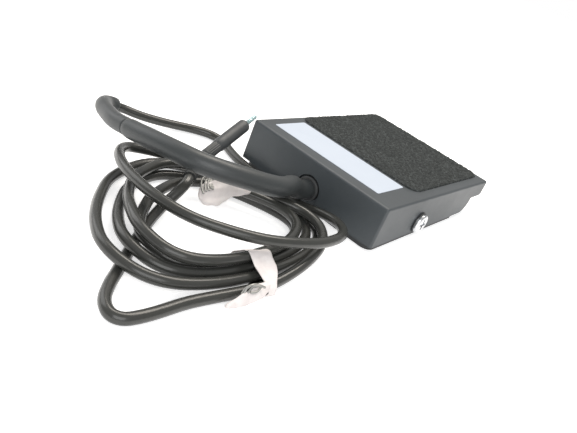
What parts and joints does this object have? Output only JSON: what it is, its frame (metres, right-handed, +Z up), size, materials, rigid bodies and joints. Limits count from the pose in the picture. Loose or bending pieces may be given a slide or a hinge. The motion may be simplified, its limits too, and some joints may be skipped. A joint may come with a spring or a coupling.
{
  "type": "sewing machine foot pedal",
  "caption": "Flat foot pedal for a sewing machine: a black steel treadle with a gritty grip pad rocks on side screws over a base and has a tied-up cable with a jack plug.",
  "frame": {"origin": "middle of the pedal's own footprint on the floor, without the cable", "axes": "+X across the pedal to its right side seen from the cable end, +Y from the cable end to the toe end, +Z up"},
  "size_m": [0.168, 0.3054, 0.0356],
  "materials": {
    "painted_steel": "satin",
    "grip_grit": "coarse grit",
    "label_face": "matte",
    "black_plastic": "matte",
    "white_plastic": "matte",
    "sole_rubber": "matte",
    "zinc_steel": "brushed",
    "sensor_plastic": "matte",
    "gland_rubber": "satin",
    "cable_jacket": "satin",
    "sleeve_jacket": "satin",
    "relief_rubber": "satin",
    "plug_plastic": "satin",
    "jack_metal": "polished",
    "wire_brown": "matte",
    "wire_blue": "matte",
    "tie_strip": "satin",
    "bright_metal": "polished",
    "spring_wire": "bright"
  },
  "bodies": {
    "base": {"base_plate": "zinc_steel", "cable_clamp": "black_plastic", "cable_gland": "gland_rubber", "clamp_screw_left": "bright_metal", "clamp_screw_right": "bright_metal", "cord_coil": "cable_jacket", "cord_lead": "cable_jacket", "cord_sleeve": "sleeve_jacket", "cord_sleeve_end": "sleeve_jacket", "cord_tail": "cable_jacket", "inner_cable": "cable_jacket", "pivot_nut_left": "zinc_steel", "pivot_nut_right": "zinc_steel", "pivot_screw_left": "bright_metal", "pivot_screw_right": "bright_metal", "pivot_spacer_left": "white_plastic", "pivot_spacer_right": "white_plastic", "pivot_washer_left": "black_plastic", "pivot_washer_right": "black_plastic", "plug_grip": "plug_plastic", "plug_jack": "jack_metal", "plug_relief": "relief_rubber", "rest_cap_left": "sole_rubber", "rest_cap_right": "sole_rubber", "rest_post_left": "zinc_steel", "rest_post_right": "zinc_steel", "return_spring_left": "spring_wire", "return_spring_right": "spring_wire", "sensor_body": "sensor_plastic", "sensor_screw_left": "bright_metal", "sensor_screw_right": "bright_metal", "sole_mat": "sole_rubber", "spring_stud_left": "zinc_steel", "spring_stud_right": "zinc_steel", "stop_buffer_left": "sole_rubber", "stop_buffer_right": "sole_rubber", "tie_front": "tie_strip", "tie_rear": "tie_strip", "wire_live": "wire_brown", "wire_return": "wire_blue"},
    "treadle": {"treadle_cover": "painted_steel", "grip_pad": "grip_grit", "rating_label": "label_face", "press_boss": "black_plastic", "spring_cup_left": "black_plastic", "spring_cup_right": "black_plastic"},
    "plunger": {"sensor_plunger": "white_plastic"}
  },
  "joints": [
    {"name": "treadle_pivot", "type": "hinge", "parent": "base", "child": "treadle", "pos_m": [0, -0.022, 0.0108], "axis": [-1, 0, 0], "range_deg": [0, 3], "stiffness_Nm_per_rad": 6, "springref_deg": -4.58, "deforming": ["return_spring_left", "return_spring_right"]},
    {"name": "plunger_slide", "type": "slide", "parent": "base", "child": "plunger", "axis": [0, 0, -1], "range_m": [0, 0.00194]}
  ],
  "couplings": [
    {"joint": "plunger_slide", "follows": "treadle_pivot", "m_per_rad": 0.037}
  ]
}
